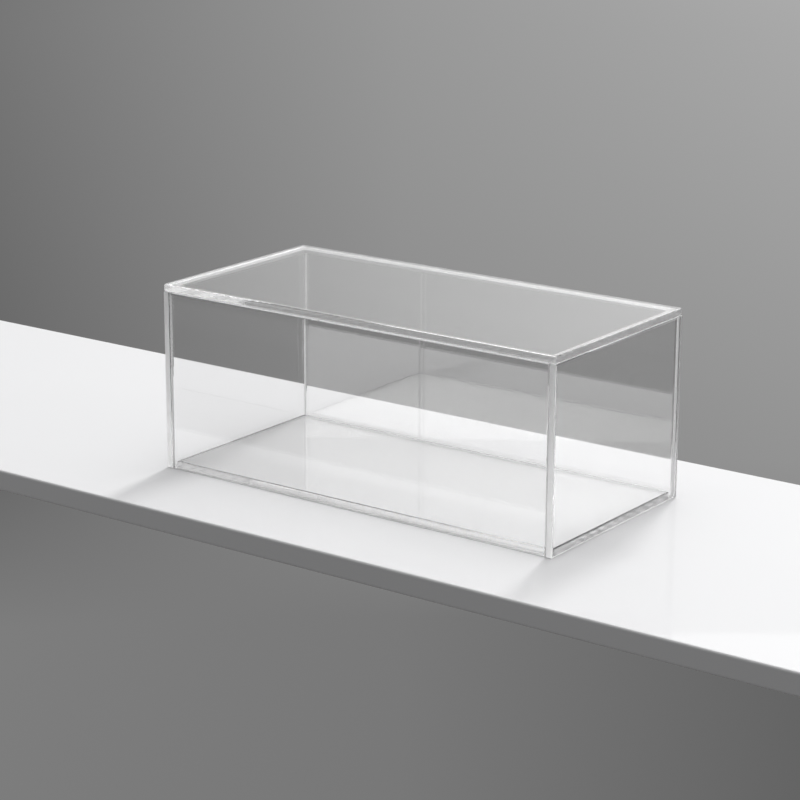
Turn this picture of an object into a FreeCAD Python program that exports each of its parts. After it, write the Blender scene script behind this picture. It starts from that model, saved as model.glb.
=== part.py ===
import FreeCAD
import Part
import Sketcher
import os

# Clear display case in millimetres. A five-sided cover, cemented from flat sheet, drops over a loose
# base panel. The origin is the middle of the footprint on the ground, +X along the case, +Z up.
DRIVING_SIZES = {
    "case_length": 330.0,  # outside, along X
    "case_width": 160.0,  # outside, along Y
    "case_height": 136.0,  # from the ground to the top face
    "wall_sheet": 5.0,  # thickness of the front, back and end panels
    "top_sheet": 5.0,  # thickness of the top panel
    "base_sheet": 5.0,  # thickness of the base panel
    "base_clearance": 0.75,  # between the base panel and the inside of each wall
    "cement_film": 0.1,  # thickness of the cement in every butt joint of the cover
    "edge_break": 0.6,  # polished chamfer on every cut edge
    "top_corner_radius": 2.0,  # rounding of the top panel's corners, seen from above
}

# Sizes that follow from the driving ones, as formulas of the same sheet.
WALL_HEIGHT = "sizes.case_height - sizes.top_sheet - sizes.cement_film"
WALL_MIDDLE = "(sizes.case_height - sizes.top_sheet - sizes.cement_film) / 2"
LONG_PANEL_LENGTH = "sizes.case_length - 2 * (sizes.wall_sheet + sizes.cement_film)"
LONG_PANEL_OFFSET = "(sizes.case_width - sizes.wall_sheet) / 2"
END_PANEL_OFFSET = "(sizes.case_length - sizes.wall_sheet) / 2"
BASE_LENGTH = "sizes.case_length - 2 * (sizes.wall_sheet + sizes.base_clearance)"
BASE_WIDTH = "sizes.case_width - 2 * (sizes.wall_sheet + sizes.base_clearance)"

CHECKED_STATES = ("Invalid", "Error")
PARALLEL_TOLERANCE = 1e-6


def make_sizes(doc):
    """Put each driving size in its own named cell."""
    sheet = doc.addObject("Spreadsheet::Sheet", "sizes")
    for row, (alias, value) in enumerate(DRIVING_SIZES.items(), start=1):
        sheet.set(f"A{row}", alias)
        sheet.set(f"B{row}", str(value))
        sheet.setAlias(f"B{row}", alias)
    doc.recompute()
    return sheet


def origin_plane(body, role):
    """The body's own origin plane with this role."""
    return next(plane for plane in body.Origin.OriginFeatures if plane.Role == role)


def add_rectangle(body, plane_role, across, upward):
    """A fully constrained rectangle, centred on the body's origin, on one of its planes."""
    sketch = body.newObject("Sketcher::SketchObject", f"{body.Name}_outline")
    sketch.AttachmentSupport = [(origin_plane(body, plane_role), "")]
    sketch.MapMode = "FlatFace"
    corners = [FreeCAD.Vector(x, y, 0) for x, y in ((-10, -10), (10, -10), (10, 10), (-10, 10))]
    for start, end in zip(corners, corners[1:] + corners[:1]):
        sketch.addGeometry(Part.LineSegment(start, end), False)
    for line in range(4):
        sketch.addConstraint(Sketcher.Constraint("Coincident", line, 2, (line + 1) % 4, 1))
    for line, direction in enumerate(("Horizontal", "Vertical", "Horizontal", "Vertical")):
        sketch.addConstraint(Sketcher.Constraint(direction, line))
    # Opposite corners lie symmetrically about the sketch's origin.
    sketch.addConstraint(Sketcher.Constraint("Symmetric", 0, 1, 2, 1, -1, 1))
    for line, name, formula in ((0, "across", across), (1, "upward", upward)):
        index = sketch.addConstraint(Sketcher.Constraint("Distance", line, 20.0))
        sketch.renameConstraint(index, name)
        sketch.setExpression(f"Constraints.{name}", formula)
    return sketch


def add_sheet(body, plane_role, across, upward, thickness):
    """A flat sheet, cut to size, with its middle at the body's origin."""
    outline = add_rectangle(body, plane_role, across, upward)
    sheet = body.newObject("PartDesign::Pad", f"{body.Name}_sheet")
    sheet.Profile = outline
    sheet.SideType = "Symmetric"
    sheet.setExpression("Length", thickness)
    body.Document.recompute()
    return sheet


def names_along_z(shape, kind):
    """Names of the straight edges that run along Z, or of the flat faces that look along Z."""
    names = []
    for index, item in enumerate(getattr(shape, kind + "s"), start=1):
        direction = item.tangentAt(item.FirstParameter) if kind == "Edge" else item.normalAt(0, 0)
        if abs(abs(direction.z) - 1) < PARALLEL_TOLERANCE:
            names.append(f"{kind}{index}")
    return names


def break_edges(body, feature, faces=None):
    """A polished chamfer round the named faces, or on every edge of the sheet."""
    chamfer = body.newObject("PartDesign::Chamfer", f"{body.Name}_polished_edges")
    chamfer.Base = (feature, faces or [])
    chamfer.UseAllEdges = faces is None
    chamfer.setExpression("Size", "sizes.edge_break")
    body.Document.recompute()
    return chamfer


def place(body, **offsets):
    """Set the middle of the sheet, each coordinate as a formula."""
    for axis, formula in offsets.items():
        body.setExpression(f".Placement.Base.{axis}", formula)


def make_body(doc, label):
    body = doc.addObject("PartDesign::Body", label)
    body.Label = label
    return body


def make_wall(doc, label, plane_role, across, **offsets):
    """One upright panel of the cover, all its edges broken."""
    body = make_body(doc, label)
    sheet = add_sheet(body, plane_role, across, WALL_HEIGHT, "sizes.wall_sheet")
    break_edges(body, sheet)
    place(body, z=WALL_MIDDLE, **offsets)
    return body


def make_top_panel(doc):
    """The top lies over all four walls and has slightly rounded corners."""
    body = make_body(doc, "top_panel")
    sheet = add_sheet(body, "XY_Plane", "sizes.case_length", "sizes.case_width", "sizes.top_sheet")
    corners = body.newObject("PartDesign::Fillet", "top_panel_corners")
    corners.Base = (sheet, names_along_z(sheet.Shape, "Edge"))
    corners.setExpression("Radius", "sizes.top_corner_radius")
    doc.recompute()
    break_edges(body, corners, names_along_z(corners.Shape, "Face"))
    place(body, z="sizes.case_height - sizes.top_sheet / 2")
    return body


def make_base_panel(doc):
    """The base lies loose on the ground inside the walls."""
    body = make_body(doc, "base_panel")
    sheet = add_sheet(body, "XY_Plane", BASE_LENGTH, BASE_WIDTH, "sizes.base_sheet")
    break_edges(body, sheet)
    place(body, z="sizes.base_sheet / 2")
    return body


def make_case(doc):
    """Every panel of the case. The end panels run the full width, the long panels fit between them."""
    panels = [make_base_panel(doc), make_top_panel(doc)]
    for label, side in (("front_panel", "-"), ("back_panel", "+")):
        panels.append(make_wall(doc, label, "XZ_Plane", LONG_PANEL_LENGTH, y=side + LONG_PANEL_OFFSET))
    for label, side in (("left_panel", "-"), ("right_panel", "+")):
        panels.append(make_wall(doc, label, "YZ_Plane", "sizes.case_width", x=side + END_PANEL_OFFSET))
    doc.recompute()
    return panels


def check(doc, panels):
    """Stop before anything is written if a feature failed or a panel isn't one sound solid."""
    for item in doc.Objects:
        if any(state in item.State for state in CHECKED_STATES):
            raise RuntimeError(f"{item.Name} is {item.State}")
    for panel in panels:
        shape = panel.Shape
        if shape.isNull() or not shape.isValid() or len(shape.Solids) != 1:
            raise RuntimeError(f"{panel.Label} isn't one valid solid")


def main():
    doc = FreeCAD.newDocument("display_case")
    make_sizes(doc)
    panels = make_case(doc)
    check(doc, panels)
    os.makedirs("parts", exist_ok=True)
    for panel in panels:
        panel.Shape.exportStep(f"parts/{panel.Label}.step")
        box = panel.Shape.BoundBox
        low = (round(box.XMin, 2), round(box.YMin, 2), round(box.ZMin, 2))
        high = (round(box.XMax, 2), round(box.YMax, 2), round(box.ZMax, 2))
        print(panel.Label, low, high, round(panel.Shape.Volume))


main()
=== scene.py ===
"""Looks of a clear display case: a lift-off cover of cemented sheet over a loose base panel.

Every panel is cut by one rule from the size of its CAD node, gets its finishes and stands where the node
stands. A bead of set cement runs inside the top joint. The stage is a plain pale floor in a grey studio.
"""

import math
from typing import NamedTuple

import bmesh
import bpy
from mathutils import Matrix, Vector


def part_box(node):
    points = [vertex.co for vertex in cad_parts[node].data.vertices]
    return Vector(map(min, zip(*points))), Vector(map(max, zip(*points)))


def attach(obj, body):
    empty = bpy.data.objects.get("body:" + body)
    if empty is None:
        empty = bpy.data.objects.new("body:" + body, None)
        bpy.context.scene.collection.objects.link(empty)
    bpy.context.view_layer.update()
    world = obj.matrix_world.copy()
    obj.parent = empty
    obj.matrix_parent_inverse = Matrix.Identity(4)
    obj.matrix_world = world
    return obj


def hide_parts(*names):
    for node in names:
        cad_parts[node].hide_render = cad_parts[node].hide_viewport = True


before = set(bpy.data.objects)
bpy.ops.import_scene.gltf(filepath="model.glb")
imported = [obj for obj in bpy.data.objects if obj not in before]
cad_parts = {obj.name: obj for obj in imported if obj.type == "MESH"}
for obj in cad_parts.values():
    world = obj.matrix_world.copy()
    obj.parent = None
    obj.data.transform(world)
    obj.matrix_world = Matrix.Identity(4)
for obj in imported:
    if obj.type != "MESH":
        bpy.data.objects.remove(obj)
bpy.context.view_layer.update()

bl_info = {
    "name": "Clear Display Case",
    "version": (1, 0, 0),
    "blender": (4, 5, 0),
    "location": "View3D > Sidebar > Display Case",
    "description": "Clear sheet cover, loose base panel and the studio they stand in",
    "category": "Object",
}

# Panels
TOP_NODE = "top_panel"
BACK_NODE = "back_panel"
BASE_NODE = "base_panel"
COVER_NODES = (TOP_NODE, "front_panel", BACK_NODE, "left_panel", "right_panel")
LONG_WALLS = ("front_panel", BACK_NODE)
AXES = "XYZ"
# Turns that lay a sheet's own thickness, along Z, along each axis of the case.
SHEET_TURNS = {
    "X": Matrix.Rotation(math.radians(90), 4, "Z") @ Matrix.Rotation(math.radians(90), 4, "X"),
    "Y": Matrix.Rotation(math.radians(90), 4, "X"),
    "Z": Matrix.Identity(4),
}
MERGE_DISTANCE = 1e-6  # metres within which the two halves of a sheet join
ARRIS_ANGLE = math.radians(40)  # an edge that turns by more than this is rounded
BEAD_GAP = 0.00005  # metres between the set cement and the sheet, so that no faces lie in one plane

# Finishes of the cut edges
SATIN, POLISHED, SAWN = 1, 2, 3  # material slots
SQUARE = 0.99  # part of a normal along an axis above which a facet counts as square to it
LEANING = 0.3  # part of a normal along an axis above which a facet leans that way

# Wear of the clear faces and edges
MIRRORED_HEAD_ON = 0.04  # share of light that clear sheet mirrors when it isn't grazed
HAZE_START = 0.52  # noise above which handling haze shows
HAZE_GAIN = 3.0
HAIRLINE_START = 0.74  # noise above which a hairline shows
HAIRLINE_GAIN = 9.0
HAIRLINE_LAY = (0.3, 0.5, 0.7)  # turns in radians
HAIRLINE_STRETCH = (30.0, 900.0, 900.0)
HAZE_ROUGHNESS = 0.012
HAIRLINE_ROUGHNESS = 0.02
CLEAN_ROUGHNESS = 0.002
EDGE_WEAR = 0.03  # roughness that saw marks and waves add to a cut edge


class CloudyFinish(NamedTuple):
    """A cloudy surface: noise scales per metre, strength and depth of its relief, spread of roughness."""

    name: str
    cloud_scale: float
    grain_scale: float
    relief: float
    depth: float
    spread: float


SAWN_FINISH = CloudyFinish(
    "sawn_edge", cloud_scale=90.0, grain_scale=1100.0, relief=0.1, depth=0.0002, spread=0.2)
CEMENT_FINISH = CloudyFinish(
    "set_cement", cloud_scale=60.0, grain_scale=400.0, relief=0.15, depth=0.0004, spread=0.3)
CLOUDY_ROUGHNESS = 0.2  # where the cloud is thinnest


class Softbox(NamedTuple):
    """A soft lamp that faces the case: angles in degrees, lengths in metres, and a tone, 1 for white.

    Its turn is to the camera's right from straight behind the case.
    """

    name: str
    turn: float
    lift: float
    distance: float
    width: float
    height: float
    tone: float


SOFTBOXES = (
    Softbox("key_softbox", turn=24, lift=47, distance=5.0, width=0.7, height=0.7, tone=54.0),
    Softbox("top_softbox", turn=0, lift=88, distance=4.0, width=4.5, height=4.5, tone=0.75),
    Softbox("back_softbox", turn=0, lift=36, distance=5.0, width=3.4, height=2.5, tone=1.0),
    Softbox("left_strip", turn=250, lift=14.3, distance=4.5, width=1.9, height=0.34, tone=1.7),
    Softbox("left_window", turn=250, lift=19.2, distance=4.5, width=1.9, height=0.43, tone=1.1),
    Softbox("right_softbox", turn=102, lift=0, distance=4.5, width=2.0, height=3.6, tone=1.5),
)
AIM = Vector((0, 0, 0.06))  # the point that the lamps face
LAMP_POWER = 4  # watts that a square metre of lamp needs for a tone of 1

# The studio's grey by the height of the line of sight, from -1, straight down, to 1, straight up.
STUDIO_LEVELS = ((-1.0, 0.16), (-0.36, 0.19), (-0.31, 0.25), (-0.13, 0.314), (0.0, 0.37), (0.2, 0.67),
                 (0.38, 0.74), (0.5, 0.57), (1.0, 0.36))
# How fast that grey rises to the right, on the left and on the right of the picture's middle.
LEFT_SLOPES = ((-0.36, -0.1), (-0.3, 0.8), (-0.13, 0.83), (0.2, 2.3))
RIGHT_SLOPES = ((-0.36, -0.38), (-0.3, 0.22), (-0.13, 0.52), (0.2, 2.3))
SLOPE_LIMITS = (-1.0, 3.0)
# Reaches in the studio are parts of a line of sight of length 1.
WALL_REACH = 0.2  # to either side, where the grey changes by those slopes
SIDE_REACH = 0.5  # past that on the right, where the studio grows darker
SIDE_FALL = 0.7
ROOM_START = 0.2  # away from the camera, where the studio starts to darken towards it
GREY_LIMITS = (0.05, 2.0)

# Floor, camera and light paths
FLOOR_ROUND = 0.0015
FLOOR_ROUND_STEPS = 3
FLOOR_ROUGHNESS = 0.35
FLOOR_CLOUD = 0.05  # roughness that the floor's cloudy lacquer adds
SENSOR_WIDTH = 36.0  # millimetres
NEAREST_SEEN = 0.01
BOUNCES = 32  # enough for light to pass every face of the case and come back


class SheetSettings(bpy.types.PropertyGroup):
    """Sizes and finish of the clear sheet."""

    edge_round: bpy.props.FloatProperty(
        name="Edge Round", description="Width of the polished round on every cut edge",
        default=0.001, min=0.0001, max=0.002, subtype="DISTANCE", unit="LENGTH")
    edge_steps: bpy.props.IntProperty(
        name="Edge Steps", description="Facets across a polished round",
        default=4, min=1, max=8)
    top_corner: bpy.props.FloatProperty(
        name="Top Corner", description="Radius of the top panel's corners, seen from above",
        default=0.002, min=0.0, max=0.02, subtype="DISTANCE", unit="LENGTH")
    corner_steps: bpy.props.IntProperty(
        name="Corner Steps", description="Facets round a corner of the top panel",
        default=8, min=2, max=32)
    refraction: bpy.props.FloatProperty(
        name="Refraction", description="Index of refraction of the sheet",
        default=1.49, min=1.0, max=2.0)
    face_tint: bpy.props.FloatVectorProperty(
        name="Face Tint", description="Colour of light that has passed a polished face",
        default=(0.999, 0.999, 0.999), min=0.0, max=1.0, subtype="COLOR")
    face_shade: bpy.props.FloatVectorProperty(
        name="Face Shade", description="Light that a polished face lets through to what stands under it",
        default=(0.998, 0.998, 0.998), min=0.0, max=1.0, subtype="COLOR")
    back_gloss: bpy.props.FloatProperty(
        name="Back Gloss", description="Weight of the gloss coat on the back panel's faces",
        default=1.0, min=0.0, max=1.0, subtype="FACTOR")
    gloss_refraction: bpy.props.FloatProperty(
        name="Gloss Refraction", description="Index of refraction of that coat",
        default=1.9, min=1.0, max=2.5)
    edge_tint: bpy.props.FloatVectorProperty(
        name="Edge Tint", description="Colour of the cut edges",
        default=(0.94, 0.94, 0.943), min=0.0, max=1.0, subtype="COLOR")
    edge_shade: bpy.props.FloatVectorProperty(
        name="Edge Shade", description="Light that a cut edge lets through to what stands under it",
        default=(0.5, 0.5, 0.505), min=0.0, max=1.0, subtype="COLOR")
    edge_clear: bpy.props.FloatProperty(
        name="Edge Clearness", description="Share of light that passes a cut edge without scattering",
        default=0.98, min=0.0, max=1.0, subtype="FACTOR")
    satin: bpy.props.FloatProperty(
        name="Satin", description="Roughness of the scraped edges",
        default=0.65, min=0.0, max=1.0, subtype="FACTOR")
    polish: bpy.props.FloatProperty(
        name="Polish", description="Roughness of the polished edges",
        default=0.05, min=0.0, max=1.0, subtype="FACTOR")
    sawn_clear: bpy.props.FloatProperty(
        name="Sawn Clearness", description="Share of light that passes a sawn edge without scattering",
        default=0.1, min=0.0, max=1.0, subtype="FACTOR")
    heavy_bead: bpy.props.FloatProperty(
        name="Heavy Bead", description="Width of the set cement along the left and back walls",
        default=0.004, min=0.0001, max=0.006, subtype="DISTANCE", unit="LENGTH")
    light_bead: bpy.props.FloatProperty(
        name="Light Bead", description="Width of the set cement along the other walls",
        default=0.0012, min=0.0001, max=0.006, subtype="DISTANCE", unit="LENGTH")
    bead_steps: bpy.props.IntProperty(
        name="Bead Steps", description="Facets across the hollow face of the bead",
        default=6, min=2, max=24)
    bead_clear: bpy.props.FloatProperty(
        name="Bead Clearness", description="Share of light that passes the set cement without scattering",
        default=0.35, min=0.0, max=1.0, subtype="FACTOR")


class StageSettings(bpy.types.PropertyGroup):
    """Floor, studio tones and camera."""

    floor_tone: bpy.props.FloatVectorProperty(
        name="Floor Tone", description="Colour of the plain pale floor",
        default=(0.88, 0.88, 0.89), min=0.0, max=1.0, subtype="COLOR")
    front_shade: bpy.props.FloatProperty(
        name="Front Shade", description="How much darker the studio is on the camera's side",
        default=0.55, min=0.0, max=1.0, subtype="FACTOR")
    floor_length: bpy.props.FloatProperty(
        name="Floor Length", description="Length of the floor along the case",
        default=1.6, min=0.5, max=10.0, subtype="DISTANCE", unit="LENGTH")
    floor_depth: bpy.props.FloatProperty(
        name="Floor Depth", description="Depth of the floor from front to back",
        default=0.314, min=0.2, max=10.0, subtype="DISTANCE", unit="LENGTH")
    floor_thickness: bpy.props.FloatProperty(
        name="Floor Thickness", description="Thickness of the floor board",
        default=0.0155, min=0.001, max=0.1, subtype="DISTANCE", unit="LENGTH")
    floor_gap: bpy.props.FloatProperty(
        name="Floor Gap", description="Air between the floor and the undersides that stand on it",
        default=0.0001, min=0.0, max=0.001, subtype="DISTANCE", unit="LENGTH")
    azimuth: bpy.props.FloatProperty(
        name="Azimuth", description="Camera's turn round the case from straight in front",
        default=math.radians(36.09), subtype="ANGLE", unit="ROTATION")
    elevation: bpy.props.FloatProperty(
        name="Elevation", description="Camera's angle above the floor",
        default=math.radians(16.12), subtype="ANGLE", unit="ROTATION")
    roll: bpy.props.FloatProperty(
        name="Roll", description="Camera's turn about its own line of sight",
        default=math.radians(0.17), subtype="ANGLE", unit="ROTATION")
    distance: bpy.props.FloatProperty(
        name="Distance", description="Camera's distance from the middle of the footprint",
        default=1.784, min=0.1, subtype="DISTANCE", unit="LENGTH")
    side_step: bpy.props.FloatProperty(
        name="Side Step", description="Camera's step to its right from the line through the footprint",
        default=-0.0126, subtype="DISTANCE", unit="LENGTH")
    rise: bpy.props.FloatProperty(
        name="Rise", description="Camera's step upwards from the line through the footprint",
        default=0.0581, subtype="DISTANCE", unit="LENGTH")
    lens: bpy.props.FloatProperty(
        name="Lens", description="Focal length in millimetres on a 36 mm wide sensor",
        default=113.1, min=10.0)


class Field:
    """One output of a node. Arithmetic on a number that changes over a surface adds Math nodes."""

    def __init__(self, graph, socket):
        self.graph = graph
        self.socket = socket

    def _math(self, operation, *values):
        return self.graph.add("ShaderNodeMath", {"operation": operation}, *values)

    def __add__(self, other):
        return self._math("ADD", self, other)

    def __sub__(self, other):
        return self._math("SUBTRACT", self, other)

    def __rsub__(self, other):
        return self._math("SUBTRACT", other, self)

    def __mul__(self, other):
        return self._math("MULTIPLY", self, other)

    def clamped(self, low, high):
        return self._math("MINIMUM", self._math("MAXIMUM", self, low), high)

    def beside(self, name):
        """Another output of the same node."""
        return Field(self.graph, self.socket.node.outputs[name])

    __radd__ = __add__
    __rmul__ = __mul__


class Graph:
    """Adds nodes to one tree."""

    def __init__(self, tree):
        self.tree = tree
        tree.nodes.clear()

    def add(self, kind, settings=None, *values, out=0, **named):
        """One node: its settings first, then its sockets, as constants, links or lists of links."""
        node = self.tree.nodes.new(kind)
        for name, value in (settings or {}).items():
            if name == "stops":
                self.set_stops(node.color_ramp, value)
            else:
                setattr(node, name, value)
        sockets = dict(enumerate(values))
        sockets.update((name.replace("_", " "), value) for name, value in named.items())
        for key, value in sockets.items():
            self.fill(node.inputs[key], value)
        return Field(self, node.outputs[out]) if node.outputs else node

    def fill(self, socket, value):
        """Give a socket a constant, a link or several links."""
        if isinstance(value, Field):
            self.tree.links.new(value.socket, socket)
        elif isinstance(value, list):
            for field in value:
                self.tree.links.new(field.socket, socket)
        else:
            socket.default_value = value

    @staticmethod
    def set_stops(ramp, stops):
        """Stops of a ramp as (place, grey)."""
        while len(ramp.elements) < len(stops):
            ramp.elements.new(1.0)
        for element, (place, grey) in zip(ramp.elements, stops):
            element.position = place
            element.color = (grey, grey, grey, 1.0)


def new_material(name):
    """A material with an empty tree, and the graph that fills it."""
    material = bpy.data.materials.new(name)
    material.use_nodes = True
    return material, Graph(material.node_tree)


def let_lamps_through(graph, surface, shade_tint):
    """Let the studio's light reach what stands behind the sheet, less of it where it grazes the sheet."""
    clear = graph.add("ShaderNodeBsdfTransparent", None, (*shade_tint, 1.0))
    graze = graph.add("ShaderNodeLayerWeight", None, 0.5, out="Facing")
    mirrored = graze * graze * graze * graze * graze * (1 - MIRRORED_HEAD_ON) + MIRRORED_HEAD_ON
    passing = graph.add("ShaderNodeMixShader", None, mirrored, clear, surface)
    for kind_of_ray in ("Is Shadow Ray", "Is Diffuse Ray"):
        ray = graph.add("ShaderNodeLightPath", out=kind_of_ray)
        surface = graph.add("ShaderNodeMixShader", None, ray, surface, passing)
    graph.add("ShaderNodeOutputMaterial", None, surface)


def make_face_material(name, gloss, settings):
    """Clear face of cast sheet: a slow ripple, a breath of handling haze, hairlines and a gloss coat."""
    material, graph = new_material(name)
    place = graph.add("ShaderNodeTexCoord", out="Object")
    haze = graph.add("ShaderNodeTexNoise", None, Vector=place, Scale=17.0, Detail=5.0, Roughness=0.6)
    wiped = graph.add("ShaderNodeTexNoise", None, Vector=place, Scale=140.0, Detail=3.0)
    film = ((haze - HAZE_START) * HAZE_GAIN).clamped(0.0, 1.0) * wiped
    stretched = graph.add(
        "ShaderNodeMapping", None, Vector=place, Rotation=HAIRLINE_LAY, Scale=HAIRLINE_STRETCH)
    lines = graph.add("ShaderNodeTexNoise", None, Vector=stretched, Scale=1.0, Detail=2.0)
    hairlines = ((lines - HAIRLINE_START) * HAIRLINE_GAIN).clamped(0.0, 1.0)
    roughness = film * HAZE_ROUGHNESS + hairlines * HAIRLINE_ROUGHNESS + CLEAN_ROUGHNESS
    ripple = graph.add("ShaderNodeTexNoise", None, Vector=place, Scale=9.0, Detail=1.0)
    normal = graph.add("ShaderNodeBump", None, Strength=0.006, Distance=0.0004, Height=ripple)
    surface = graph.add(
        "ShaderNodeBsdfPrincipled", None, Base_Color=(*settings.face_tint, 1.0), Roughness=roughness,
        IOR=settings.refraction, Transmission_Weight=1.0, Coat_Weight=gloss, Coat_Roughness=0.0,
        Coat_IOR=settings.gloss_refraction, Normal=normal)
    let_lamps_through(graph, surface, settings.face_shade)
    return material


def make_edge_material(name, roughness, settings):
    """Cut edge, polished or scraped, with faint saw marks across it that scatter a little light."""
    material, graph = new_material(name)
    place = graph.add("ShaderNodeTexCoord", out="Object")
    marks = graph.add("ShaderNodeTexNoise", None, Vector=place, Scale=1400.0, Detail=2.0, Roughness=0.55)
    waves = graph.add("ShaderNodeTexNoise", None, Vector=place, Scale=120.0, Detail=2.0)
    wear = marks + waves
    normal = graph.add("ShaderNodeBump", None, Strength=0.03, Distance=0.0002, Height=wear)
    surface = graph.add(
        "ShaderNodeBsdfPrincipled", None, Base_Color=(*settings.edge_tint, 1.0),
        Roughness=wear * EDGE_WEAR + roughness, IOR=settings.refraction,
        Transmission_Weight=settings.edge_clear, Normal=normal)
    let_lamps_through(graph, surface, settings.edge_shade)
    return material


def make_cloudy_material(finish, clearness, settings):
    """Sawn edge or set cement: cloudy, with a grainy or lumpy skin."""
    material, graph = new_material(finish.name)
    place = graph.add("ShaderNodeTexCoord", out="Object")
    cloud = graph.add(
        "ShaderNodeTexNoise", None, Vector=place, Scale=finish.cloud_scale, Detail=4.0, Roughness=0.6)
    grain = graph.add("ShaderNodeTexNoise", None, Vector=place, Scale=finish.grain_scale, Detail=2.0)
    normal = graph.add(
        "ShaderNodeBump", None, Strength=finish.relief, Distance=finish.depth, Height=grain)
    surface = graph.add(
        "ShaderNodeBsdfPrincipled", None, Base_Color=(*settings.edge_tint, 1.0),
        Roughness=cloud * finish.spread + CLOUDY_ROUGHNESS, IOR=settings.refraction,
        Transmission_Weight=clearness, Normal=normal)
    let_lamps_through(graph, surface, settings.edge_shade)
    return material


def cut_sheet_tree():
    """Geometry Nodes rule for a flat sheet: an outline with rounded corners, filled and made thick."""
    tree = bpy.data.node_groups.new("cut_sheet", "GeometryNodeTree")
    sockets = (
        ("Length", "NodeSocketFloat"), ("Width", "NodeSocketFloat"), ("Thickness", "NodeSocketFloat"),
        ("Corner", "NodeSocketFloat"), ("Corner Steps", "NodeSocketInt"),
        ("Face", "NodeSocketMaterial"), ("Edge", "NodeSocketMaterial"))
    for name, kind in sockets:
        tree.interface.new_socket(name, in_out="INPUT", socket_type=kind)
    tree.interface.new_socket("Sheet", in_out="OUTPUT", socket_type="NodeSocketGeometry")
    graph = Graph(tree)
    given = {name: graph.add("NodeGroupInput", out=name) for name, _ in sockets}
    outline = graph.add(
        "GeometryNodeCurvePrimitiveQuadrilateral", None, Width=given["Length"], Height=given["Width"])
    rounded = graph.add(
        "GeometryNodeFilletCurve", {"mode": "POLY"}, Curve=outline, Radius=given["Corner"],
        Count=given["Corner Steps"])
    face = graph.add("GeometryNodeFillCurve", {"mode": "NGONS"}, Curve=rounded)
    thick = graph.add(
        "GeometryNodeExtrudeMesh", None, Mesh=face, Offset_Scale=given["Thickness"], Individual=False,
        out="Mesh")
    faced = graph.add("GeometryNodeSetMaterial", None, Geometry=thick, Material=given["Face"])
    edged = graph.add(
        "GeometryNodeSetMaterial", None, Geometry=faced, Selection=thick.beside("Side"),
        Material=given["Edge"])
    under = graph.add("GeometryNodeFlipFaces", None, Mesh=face)
    under_faced = graph.add("GeometryNodeSetMaterial", None, Geometry=under, Material=given["Face"])
    joined = graph.add("GeometryNodeJoinGeometry", None, Geometry=[under_faced, edged])
    closed = graph.add("GeometryNodeMergeByDistance", None, Geometry=joined, Distance=MERGE_DISTANCE)
    realized = graph.add("GeometryNodeRealizeInstances", None, Geometry=closed)
    graph.add("NodeGroupOutput", None, Sheet=realized)
    return tree


def set_tree_inputs(modifier, tree, **values):
    """Set a Geometry Nodes modifier's inputs by their sockets' identifiers."""
    for item in tree.interface.items_tree:
        if item.in_out == "INPUT":
            modifier[item.identifier] = values[item.name.replace(" ", "_").lower()]


def sheet_axis(size):
    """The axis that a panel is thin along."""
    return AXES[min(range(3), key=lambda i: size[i])]


def edge_finish(node, normal):
    """The finish of a facet of a cover panel's edge, from the way it faces."""
    if node == TOP_NODE:
        return POLISHED if normal.x > LEANING or normal.y < -LEANING else SATIN
    hidden = normal.z > SQUARE or normal.z < -LEANING
    between_walls = node in LONG_WALLS and abs(normal.x) > SQUARE
    return SAWN if hidden or between_walls else SATIN


def finish_edges(node, mesh, polished, sawn):
    """Polish the top panel's front and right edges, and leave those sawn that are cemented or stood on."""
    mesh.materials.append(polished)
    mesh.materials.append(sawn)
    for facet in mesh.polygons:
        if facet.material_index == SATIN:
            facet.material_index = edge_finish(node, facet.normal)


def make_panel(node, tree, face, edge, settings, corner=0.0):
    """One panel, cut to its CAD node's size, with rounded polished edges, in the node's place."""
    low, high = (Vector(corner_point) for corner_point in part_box(node))
    size = high - low
    turn = SHEET_TURNS[sheet_axis(size)]
    length, width, thickness = (abs(side) for side in turn.inverted() @ size)
    mesh = bpy.data.meshes.new(f"{node}_start")
    panel = bpy.data.objects.new(f"{node}_clear", mesh)
    bpy.context.scene.collection.objects.link(panel)
    cut = panel.modifiers.new("cut_sheet", "NODES")
    cut.node_group = tree
    set_tree_inputs(
        cut, tree, length=length, width=width, thickness=thickness, corner=corner,
        corner_steps=settings.corner_steps if corner else 1, face=face, edge=edge)
    polish = panel.modifiers.new("polish", "BEVEL")
    polish.width = settings.edge_round
    polish.segments = settings.edge_steps
    polish.limit_method = "ANGLE"
    polish.angle_limit = ARRIS_ANGLE
    polish.material = SATIN
    graph = bpy.context.evaluated_depsgraph_get()
    finished = bpy.data.meshes.new_from_object(panel.evaluated_get(graph))
    panel.modifiers.clear()
    panel.data = finished
    finished.name = f"{node}_clear"
    centred = Matrix.Translation((0, 0, -thickness / 2))
    finished.transform(Matrix.Translation((low + high) / 2) @ turn @ centred)
    bpy.data.meshes.remove(mesh)
    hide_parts(node)
    return panel


def bead_points(settings):
    """The bead's section at each inside corner under the top panel, one list of points for each corner."""
    heavy, light = settings.heavy_bead, settings.light_bead
    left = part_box("left_panel")[1][0] + BEAD_GAP
    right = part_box("right_panel")[0][0] - BEAD_GAP
    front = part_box("front_panel")[1][1] + BEAD_GAP
    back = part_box("back_panel")[0][1] - BEAD_GAP
    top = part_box(TOP_NODE)[0][2] - BEAD_GAP
    corners = (
        (left, front, heavy, light), (right, front, -light, light),
        (right, back, -light, -heavy), (left, back, heavy, -heavy))
    turns = [math.pi / 2 * step / settings.bead_steps for step in range(settings.bead_steps + 1)]
    section = [(0.0, 0.0)] + [(1 - math.sin(turn), 1 - math.cos(turn)) for turn in turns]
    rings = []
    for x, y, reach_x, reach_y in corners:
        drop = (abs(reach_x) + abs(reach_y)) / 2
        rings.append([
            (x + reach_x * across, y + reach_y * across, top - drop * down) for across, down in section])
    return rings


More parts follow.
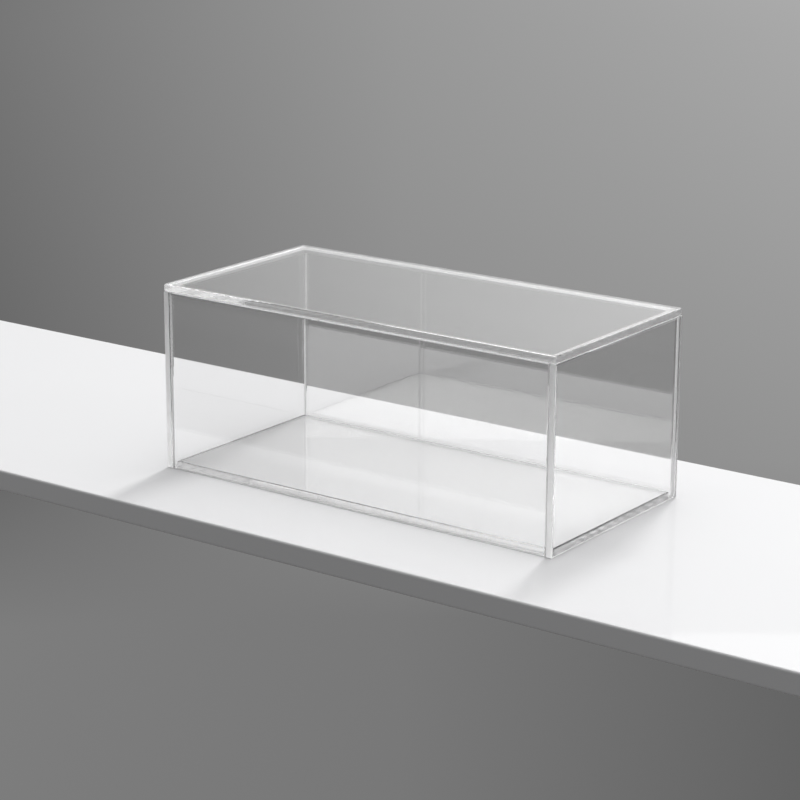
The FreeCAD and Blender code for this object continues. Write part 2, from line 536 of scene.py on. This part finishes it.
def make_bead(settings):
    """A closed bead with a hollow face, in the inside corner between the walls and the top panel."""
    shape = bmesh.new()
    rings = [[shape.verts.new(point) for point in ring] for ring in bead_points(settings)]
    for ring, next_ring in zip(rings, rings[1:] + rings[:1]):
        for step in range(len(ring)):
            after = (step + 1) % len(ring)
            shape.faces.new((ring[step], ring[after], next_ring[after], next_ring[step]))
    bmesh.ops.recalc_face_normals(shape, faces=shape.faces)
    mesh = bpy.data.meshes.new("cement_bead")
    shape.to_mesh(mesh)
    shape.free()
    mesh.materials.append(make_cloudy_material(CEMENT_FINISH, settings.bead_clear, settings))
    bead = bpy.data.objects.new("cement_bead", mesh)
    bpy.context.scene.collection.objects.link(bead)
    return bead


def make_floor(settings):
    """A plain pale board with softened edges."""
    half = Vector((settings.floor_length / 2, settings.floor_depth / 2, 0))
    low = Vector((-half.x, -half.y, -settings.floor_gap - settings.floor_thickness))
    high = Vector((half.x, half.y, -settings.floor_gap))
    corners = [(x, y, z) for x in (low.x, high.x) for y in (low.y, high.y) for z in (low.z, high.z)]
    faces = [(0, 1, 3, 2), (4, 6, 7, 5), (0, 4, 5, 1), (2, 3, 7, 6), (0, 2, 6, 4), (1, 5, 7, 3)]
    mesh = bpy.data.meshes.new("floor")
    mesh.from_pydata(corners, [], faces)
    floor = bpy.data.objects.new("floor", mesh)
    bpy.context.scene.collection.objects.link(floor)
    soften = floor.modifiers.new("soften", "BEVEL")
    soften.width = FLOOR_ROUND
    soften.segments = FLOOR_ROUND_STEPS
    material, graph = new_material("floor_lacquer")
    place = graph.add("ShaderNodeTexCoord", out="Object")
    cloud = graph.add("ShaderNodeTexNoise", None, Vector=place, Scale=6.0, Detail=2.0)
    surface = graph.add(
        "ShaderNodeBsdfPrincipled", None, Base_Color=(*settings.floor_tone, 1.0),
        Roughness=cloud * FLOOR_CLOUD + FLOOR_ROUGHNESS, Specular_IOR_Level=0.05, Coat_Weight=0.3,
        Coat_Roughness=0.02)
    graph.add("ShaderNodeOutputMaterial", None, surface)
    mesh.materials.append(material)


def camera_axes(settings):
    """Unit vectors from the case towards the camera, to the camera's right and upwards in its picture."""
    turn, lift = settings.azimuth, settings.elevation
    back = Vector((math.sin(turn) * math.cos(lift), -math.cos(turn) * math.cos(lift), math.sin(lift)))
    right = Vector((math.cos(turn), math.sin(turn), 0))
    return back, right, back.cross(right)


def make_camera(settings):
    """The camera, on its line of sight past the middle of the footprint."""
    back, right, up = camera_axes(settings)
    camera = bpy.data.objects.new("camera", bpy.data.cameras.new("camera"))
    bpy.context.scene.collection.objects.link(camera)
    camera.data.sensor_width = SENSOR_WIDTH
    camera.data.lens = settings.lens
    camera.data.clip_start = NEAREST_SEEN
    camera.location = back * settings.distance + right * settings.side_step + up * settings.rise
    turned = Matrix((right, up, back)).transposed() @ Matrix.Rotation(settings.roll, 3, "Z")
    camera.rotation_euler = turned.to_euler()
    bpy.context.scene.camera = camera


def ramp_over(graph, value, stops, low=0.0, high=1.0):
    """A number that follows stops of (value, number), with all the numbers between low and high."""
    span = high - low
    placed = [((place + 1) / 2, (number - low) / span) for place, number in stops]
    share = graph.add("ShaderNodeValToRGB", {"stops": placed}, (value + 1.0) * 0.5)
    return share * span + low


def make_studio(settings):
    """A grey studio: light above and behind the case, dark round the camera, paler on the right."""
    world = bpy.data.worlds.new("studio")
    bpy.context.scene.world = world
    world.use_nodes = True
    graph = Graph(world.node_tree)
    direction = graph.add("ShaderNodeTexCoord", out="Generated")
    back, right, _ = camera_axes(settings)
    dot = {"operation": "DOT_PRODUCT"}
    across = graph.add("ShaderNodeVectorMath", dot, direction, tuple(right), out="Value")
    nearness = graph.add("ShaderNodeVectorMath", dot, direction, (back.x, back.y, 0.0), out="Value")
    height = graph.add("ShaderNodeSeparateXYZ", None, direction, out="Z")
    level = ramp_over(graph, height, STUDIO_LEVELS)
    leftward = ramp_over(graph, height, LEFT_SLOPES, *SLOPE_LIMITS) * across.clamped(-WALL_REACH, 0.0)
    rightward = ramp_over(graph, height, RIGHT_SLOPES, *SLOPE_LIMITS) * across.clamped(0.0, WALL_REACH)
    room = 1.0 - (nearness + ROOM_START).clamped(0.0, 1.0) * settings.front_shade
    side = 1.0 - (across - WALL_REACH).clamped(0.0, SIDE_REACH) * SIDE_FALL
    grey = ((level + leftward + rightward) * room * side).clamped(*GREY_LIMITS)
    tone = graph.add("ShaderNodeCombineColor", None, grey, grey, grey)
    light = graph.add("ShaderNodeBackground", None, tone, 1.0)
    graph.add("ShaderNodeOutputWorld", None, light)


def make_softbox(box, settings):
    """A lamp panel that faces the case and gives the same tone all over."""
    back, right, _ = camera_axes(settings)
    away = Vector((-back.x, -back.y, 0)).normalized()
    turn, lift = math.radians(box.turn), math.radians(box.lift)
    level = away * math.cos(turn) + right * math.sin(turn)
    direction = level * math.cos(lift) + Vector((0, 0, math.sin(lift)))
    lamp = bpy.data.lights.new(box.name, "AREA")
    lamp.shape = "RECTANGLE"
    lamp.size = box.width
    lamp.size_y = box.height
    lamp.energy = LAMP_POWER * box.width * box.height * box.tone
    panel = bpy.data.objects.new(box.name, lamp)
    bpy.context.scene.collection.objects.link(panel)
    panel.location = AIM + direction * box.distance
    panel.rotation_euler = direction.to_track_quat("Z", "Y").to_euler()
    panel.visible_camera = False


class CASE_OT_cover(bpy.types.Operator):
    """Cut, finish and place the five cemented panels of the lift-off cover"""

    bl_idname = "case.cover"
    bl_label = "Cover Panels"

    def execute(self, context):
        settings = context.scene.case_sheet
        tree = cut_sheet_tree()
        clear = make_face_material("clear_sheet_face", 0.0, settings)
        glossy = make_face_material("gloss_sheet_face", settings.back_gloss, settings)
        satin = make_edge_material("satin_edge", settings.satin, settings)
        polished = make_edge_material("polished_edge", settings.polish, settings)
        sawn = make_cloudy_material(SAWN_FINISH, settings.sawn_clear, settings)
        for node in COVER_NODES:
            corner = settings.top_corner if node == TOP_NODE else 0.0
            face = glossy if node == BACK_NODE else clear
            panel = make_panel(node, tree, face, satin, settings, corner)
            finish_edges(node, panel.data, polished, sawn)
            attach(panel, "cover")
        return {"FINISHED"}


class CASE_OT_cement(bpy.types.Operator):
    """Run the bead of set cement round the inside of the top joint"""

    bl_idname = "case.cement"
    bl_label = "Cement Bead"

    def execute(self, context):
        bead = make_bead(context.scene.case_sheet)
        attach(bead, "cover")
        return {"FINISHED"}


class CASE_OT_base(bpy.types.Operator):
    """Cut, polish and place the loose base panel, once the cover's sheet and finishes are there"""

    bl_idname = "case.base"
    bl_label = "Base Panel"

    def execute(self, context):
        settings = context.scene.case_sheet
        tree = bpy.data.node_groups["cut_sheet"]
        face = bpy.data.materials["clear_sheet_face"]
        edge = bpy.data.materials["polished_edge"]
        panel = make_panel(BASE_NODE, tree, face, edge, settings)
        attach(panel, "base")
        return {"FINISHED"}


class CASE_OT_stage(bpy.types.Operator):
    """Set up the pale floor, the grey studio, its lamps and the camera"""

    bl_idname = "case.stage"
    bl_label = "Stage"

    def execute(self, context):
        scene = context.scene
        settings = scene.case_stage
        make_floor(settings)
        make_studio(settings)
        for box in SOFTBOXES:
            make_softbox(box, settings)
        make_camera(settings)
        scene.view_settings.view_transform = "Standard"
        scene.cycles.max_bounces = BOUNCES
        scene.cycles.transmission_bounces = BOUNCES
        scene.cycles.glossy_bounces = BOUNCES
        scene.cycles.transparent_max_bounces = BOUNCES
        scene.cycles.caustics_reflective = False
        scene.cycles.caustics_refractive = False
        return {"FINISHED"}


class CASE_PT_sidebar(bpy.types.Panel):
    """Lists the pieces of the case and the sizes and finishes they are made with"""

    bl_idname = "CASE_PT_sidebar"
    bl_label = "Display Case"
    bl_space_type = "VIEW_3D"
    bl_region_type = "UI"
    bl_category = "Display Case"

    def draw(self, context):
        for operator in OPERATORS:
            self.layout.operator(operator.bl_idname)
        for group in (context.scene.case_sheet, context.scene.case_stage):
            box = self.layout.box()
            for name in group.__annotations__:
                box.prop(group, name)


OPERATORS = (CASE_OT_cover, CASE_OT_cement, CASE_OT_base, CASE_OT_stage)
CLASSES = (SheetSettings, StageSettings, *OPERATORS, CASE_PT_sidebar)


def register():
    for item in CLASSES:
        bpy.utils.register_class(item)
    bpy.types.Scene.case_sheet = bpy.props.PointerProperty(type=SheetSettings)
    bpy.types.Scene.case_stage = bpy.props.PointerProperty(type=StageSettings)


def unregister():
    del bpy.types.Scene.case_stage
    del bpy.types.Scene.case_sheet
    for item in reversed(CLASSES):
        bpy.utils.unregister_class(item)


def main():
    register()
    bpy.ops.case.cover()
    bpy.ops.case.cement()
    bpy.ops.case.base()
    bpy.ops.case.stage()
    bpy.context.view_layer.update()


if __name__ == "__main__":
    main()
